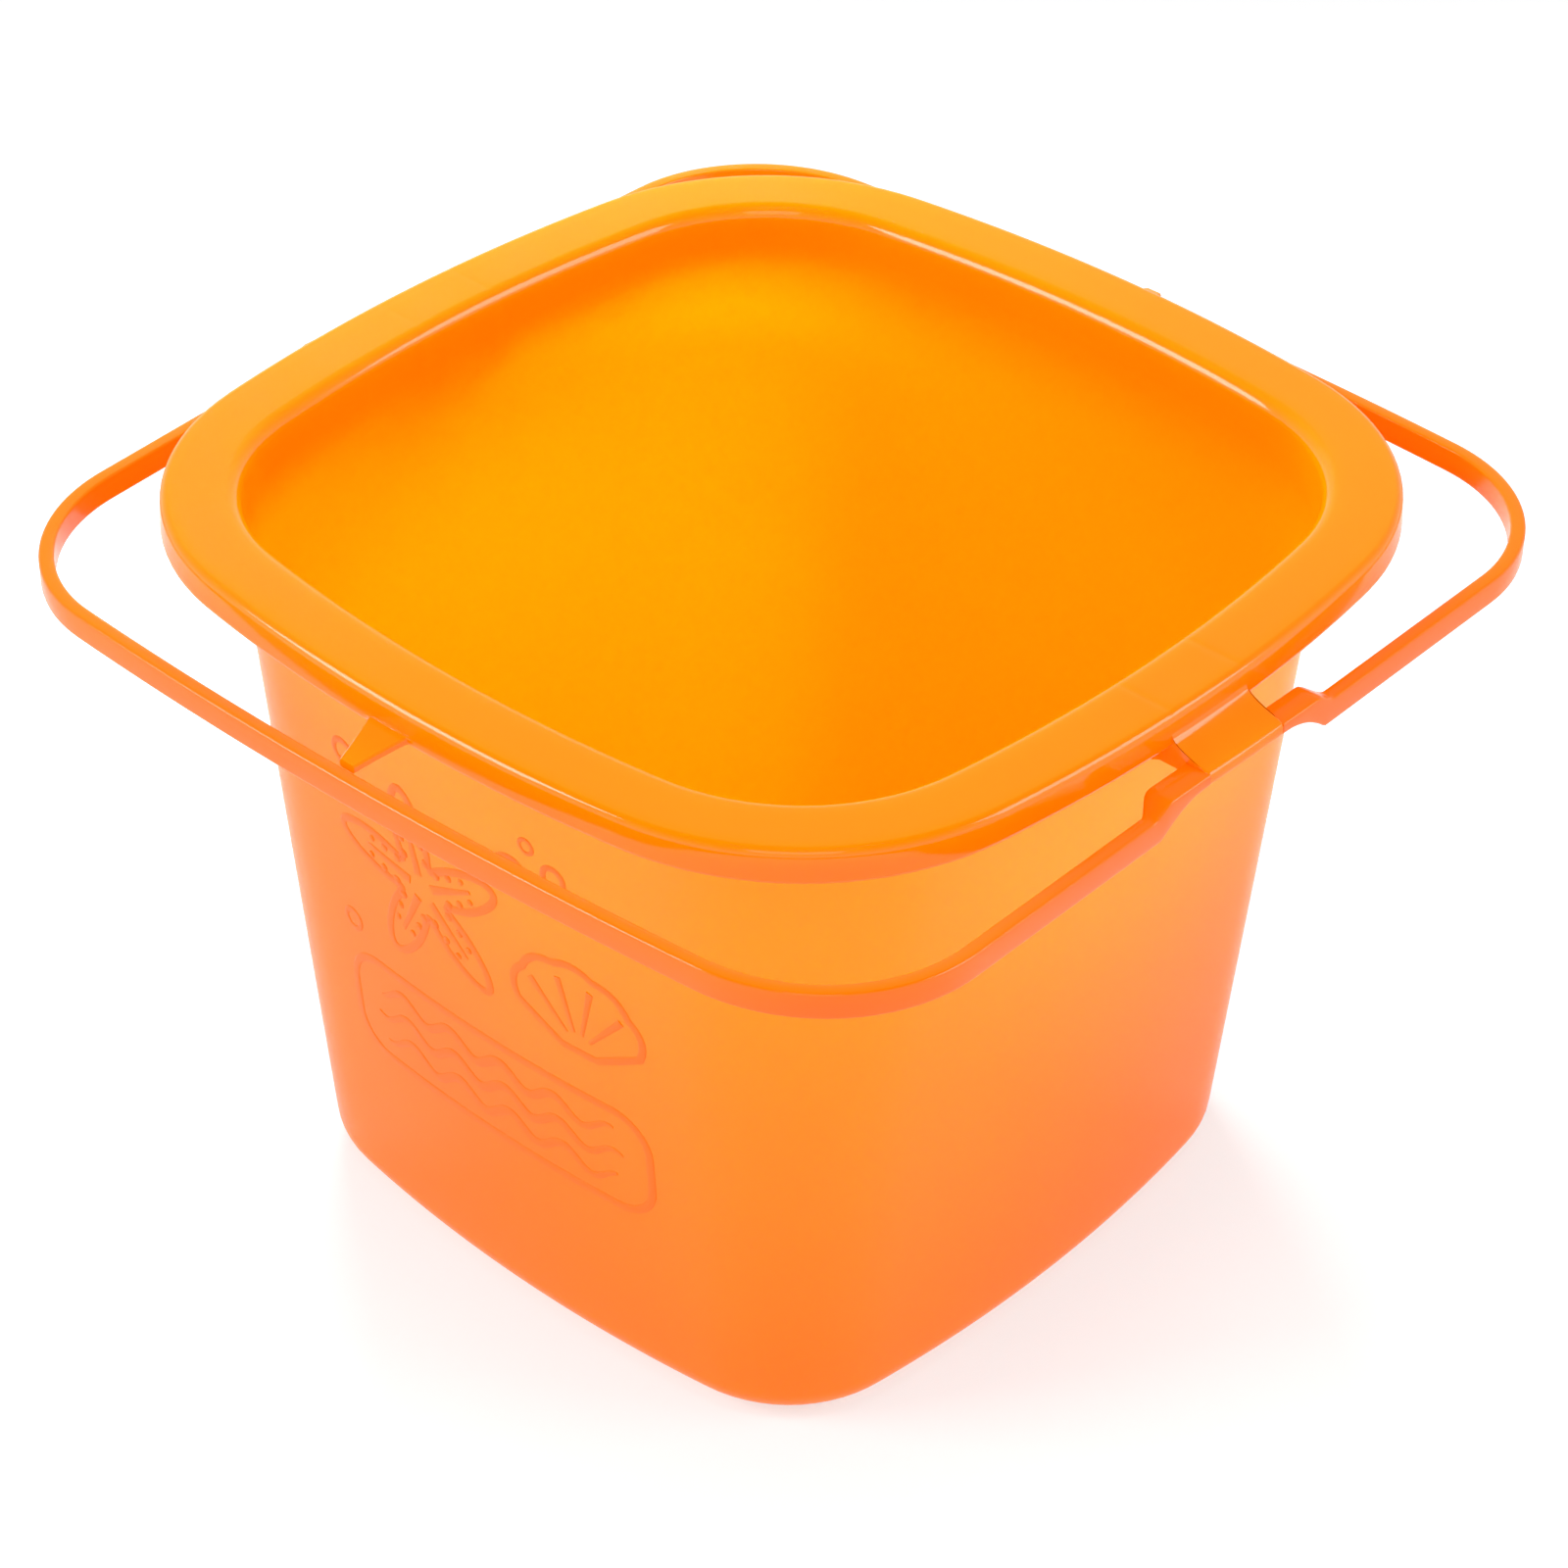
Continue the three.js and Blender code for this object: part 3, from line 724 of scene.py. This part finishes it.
world = bpy.data.worlds.new("studio")
bpy.context.scene.world = world
world.use_nodes = True
sky = world.node_tree
look = add_node(sky, "ShaderNodeTexCoord")
split = add_node(sky, "ShaderNodeSeparateXYZ")
sky.links.new(look.outputs["Generated"], split.inputs[0])
lower = add_node(sky, "ShaderNodeMath", operation="SUBTRACT", use_clamp=True)
lower.inputs[0].default_value = 1.0
sky.links.new(split.outputs["Z"], lower.inputs[1])
fall = add_node(sky, "ShaderNodeMath", operation="POWER")
sky.links.new(lower.outputs[0], fall.inputs[0])
fall.inputs[1].default_value = 1.5
sky.links.new(fall.outputs[0], sky.nodes["Background"].inputs["Color"])
sky.nodes["Background"].inputs["Strength"].default_value = 1.4


def softbox(name, azimuth, elevation, distance, width, height, power, target=(0, 0, 0.09)):
    """A rectangular area light that faces the target, in metres and watts. Azimuth is counted in degrees from
    +X towards +Y."""
    data = bpy.data.lights.new(name, "AREA")
    data.shape = "RECTANGLE"
    data.size, data.size_y = width, height
    data.energy = power
    obj = bpy.data.objects.new(name, data)
    bpy.context.scene.collection.objects.link(obj)
    a, e = math.radians(azimuth), math.radians(elevation)
    out = Vector((math.cos(a) * math.cos(e), math.sin(a) * math.cos(e), math.sin(e)))
    obj.location = Vector(target) + out * distance
    obj.location.z = max(obj.location.z, LOWEST_LIGHT)
    obj.rotation_mode = "QUATERNION"
    obj.rotation_quaternion = (-out).to_track_quat("-Z", "Y")
    return obj


softbox("front_box", -48, 45, 1.6, 0.7, 0.7, 3)
softbox("front_left_box", -128, 30, 1.6, 0.7, 0.7, 17)
softbox("front_right_box", 34, 30, 1.6, 0.7, 0.7, 9)
softbox("top_box", -48, 84, 1.6, 0.9, 0.9, 18).visible_glossy = False
softbox("back_box", 146, 15, 0.42, 0.22, 0.22, 3.8).visible_glossy = False

bpy.context.scene.view_settings.view_transform = "Standard"

AZIMUTH, ELEVATION, ROLL = 42.08, 36.7, 0.85
DISTANCE, ASIDE, RAISED, LENS = 0.88057, 0.000055, -0.06314, 99.46
a, e, r = math.radians(AZIMUTH), math.radians(ELEVATION), math.radians(ROLL)
view_back = Vector((math.sin(a) * math.cos(e), -math.cos(a) * math.cos(e), math.sin(e)))
view_right = Vector((math.cos(a), math.sin(a), 0))
view_up = view_back.cross(view_right)
rolled_right = view_right * math.cos(r) + view_up * math.sin(r)
rolled_up = view_up * math.cos(r) - view_right * math.sin(r)
camera_data = bpy.data.cameras.new("camera")
camera_data.sensor_width = 36
camera_data.lens = LENS
camera_data.clip_start, camera_data.clip_end = 0.01, 50
camera = bpy.data.objects.new("camera", camera_data)
bpy.context.scene.collection.objects.link(camera)
camera.location = (Vector((0, 0, HEIGHT * MM)) + view_back * DISTANCE
                   + rolled_right * ASIDE + rolled_up * RAISED)
camera.rotation_mode = "QUATERNION"
camera.rotation_quaternion = Matrix((rolled_right, rolled_up, view_back)).transposed().to_quaternion()
bpy.context.scene.camera = camera
